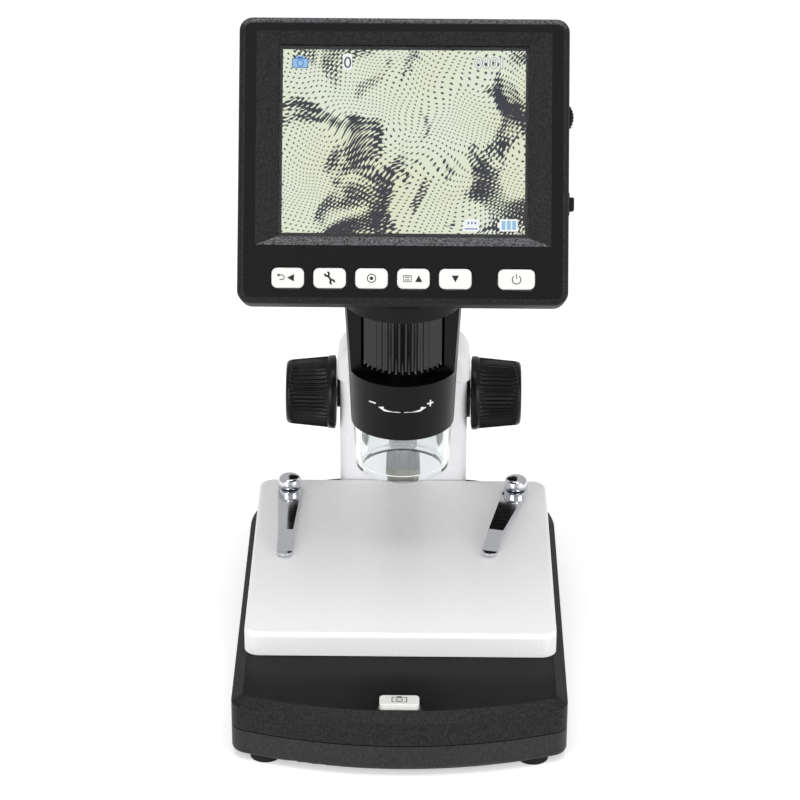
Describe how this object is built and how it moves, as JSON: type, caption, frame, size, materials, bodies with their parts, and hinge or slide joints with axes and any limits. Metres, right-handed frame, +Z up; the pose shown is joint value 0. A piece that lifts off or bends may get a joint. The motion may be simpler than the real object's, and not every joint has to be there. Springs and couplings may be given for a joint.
{
  "type": "lcd digital microscope",
  "caption": "Desktop digital microscope: tilted screen and keys over a lens head with a focus ring, rack-and-pinion column with side knobs, stage with spring clips, weighted base",
  "frame": {"origin": "centre of the footprint, on the table plane under the rubber feet", "axes": "+X to the right as the screen is read, +Y away from the user towards the column, +Z up"},
  "size_m": [0.0972, 0.1523, 0.1952],
  "materials": {
    "black_abs": "fine spark texture",
    "deck_abs": "fine satin",
    "white_abs": "semi-gloss",
    "key_abs": "satin",
    "dark_pc": "gloss",
    "rubber": "matte",
    "chrome": "polished",
    "steel": "satin",
    "brass": "machined",
    "acetal": "smooth",
    "clear_pmma": "clear",
    "optical_glass": "coated",
    "board": "solder mask",
    "lcd": "lit screen",
    "led": "clear epoxy",
    "cell": "film wrap"
  },
  "bodies": {
    "stand": {"base_bottom_case": "black_abs", "base_top_case": "deck_abs", "rubber_feet": "rubber", "case_screws": "steel", "ballast_plate": "steel", "snap_switch_board": "board", "switch_board_stands": "black_abs", "stage_plate": "white_abs", "left_clip_post": "chrome", "right_clip_post": "chrome", "column_front_shell": "white_abs", "column_rear_shell": "white_abs", "column_cap": "white_abs", "slide_guide": "acetal", "left_bush": "black_abs", "right_bush": "black_abs"},
    "focus_drive": {"focus_shaft": "steel", "pinion": "brass", "left_focus_knob": "black_abs", "right_focus_knob": "black_abs"},
    "carriage": {"head_housing": "black_abs", "focus_arm": "black_abs", "slide_bar": "steel", "rack": "brass", "bar_screw": "steel", "sensor_board": "board", "led_board": "board", "leds": "led", "clear_shade": "clear_pmma", "display_bezel": "black_abs", "display_rear_shell": "black_abs", "screen_window": "clear_pmma", "lcd_panel": "lcd", "main_board": "board", "battery": "cell", "key_board": "board", "wheel_stud": "steel", "side_button_collar": "chrome", "side_switch": "board", "usb_socket": "steel", "card_socket": "steel"},
    "ring": {"focus_ring": "dark_pc"},
    "lens": {"lens_barrel": "dark_pc", "lens_elements": "optical_glass"},
    "wheel": {"brightness_wheel": "dark_pc"},
    "side_key": {"side_button": "black_abs"},
    "snap_key": {"snap_button": "key_abs"},
    "left_clip": {"left_stage_clip": "chrome"},
    "right_clip": {"right_stage_clip": "chrome"},
    "back_key_cap": {"back_key": "key_abs"},
    "settings_key_cap": {"settings_key": "key_abs"},
    "enter_key_cap": {"enter_key": "key_abs"},
    "mode_key_cap": {"mode_key": "key_abs"},
    "down_key_cap": {"down_key": "key_abs"},
    "power_key_cap": {"power_key": "key_abs"}
  },
  "joints": [
    {"name": "carriage_slide", "type": "slide", "parent": "stand", "child": "carriage", "axis": [0, 0, 1], "range_m": [-0.026, 0.01]},
    {"name": "focus_turn", "type": "hinge", "parent": "stand", "child": "focus_drive", "pos_m": [0, 0.065, 0.0537], "axis": [-1, 0, 0], "range_deg": [-420, 165]},
    {"name": "ring_turn", "type": "hinge", "parent": "carriage", "child": "ring", "pos_m": [0, 0.01, 0.1], "axis": [0, 0, 1], "range_deg": [-136, 136]},
    {"name": "lens_slide", "type": "slide", "parent": "carriage", "child": "lens", "axis": [0, 0, 1], "range_m": [-0.0015, 0.0015]},
    {"name": "snap_press", "type": "slide", "parent": "stand", "child": "snap_key", "axis": [0, 0, -1], "range_m": [0, 0.0008], "stiffness_N_per_m": 500},
    {"name": "brightness_turn", "type": "hinge", "parent": "carriage", "child": "wheel", "pos_m": [0.0429, 0.01161, 0.16755], "axis": [0, 0.8805, -0.4741], "range_deg": [-135, 135]},
    {"name": "side_press", "type": "slide", "parent": "carriage", "child": "side_key", "axis": [-1, 0, 0], "range_m": [0, 0.0006], "stiffness_N_per_m": 500},
    {"name": "left_clip_turn", "type": "hinge", "parent": "stand", "child": "left_clip", "pos_m": [-0.0358, 0.0448, 0.03], "axis": [0, 0, 1], "range_deg": [-60, 25]},
    {"name": "right_clip_turn", "type": "hinge", "parent": "stand", "child": "right_clip", "pos_m": [0.0358, 0.0448, 0.03], "axis": [0, 0, 1], "range_deg": [-12, 70]},
    {"name": "back_press", "type": "slide", "parent": "carriage", "child": "back_key_cap", "axis": [0, 0.8805, -0.4741], "range_m": [0, 0.0005], "stiffness_N_per_m": 400},
    {"name": "settings_press", "type": "slide", "parent": "carriage", "child": "settings_key_cap", "axis": [0, 0.8805, -0.4741], "range_m": [0, 0.0005], "stiffness_N_per_m": 400},
    {"name": "enter_press", "type": "slide", "parent": "carriage", "child": "enter_key_cap", "axis": [0, 0.8805, -0.4741], "range_m": [0, 0.0005], "stiffness_N_per_m": 400},
    {"name": "mode_press", "type": "slide", "parent": "carriage", "child": "mode_key_cap", "axis": [0, 0.8805, -0.4741], "range_m": [0, 0.0005], "stiffness_N_per_m": 400},
    {"name": "down_press", "type": "slide", "parent": "carriage", "child": "down_key_cap", "axis": [0, 0.8805, -0.4741], "range_m": [0, 0.0005], "stiffness_N_per_m": 400},
    {"name": "power_press", "type": "slide", "parent": "carriage", "child": "power_key_cap", "axis": [0, 0.8805, -0.4741], "range_m": [0, 0.0005], "stiffness_N_per_m": 400}
  ],
  "couplings": [
    {"joint": "focus_turn", "follows": "carriage_slide", "rad_per_m": 277.78},
    {"joint": "ring_turn", "follows": "lens_slide", "rad_per_m": 1570.8}
  ]
}
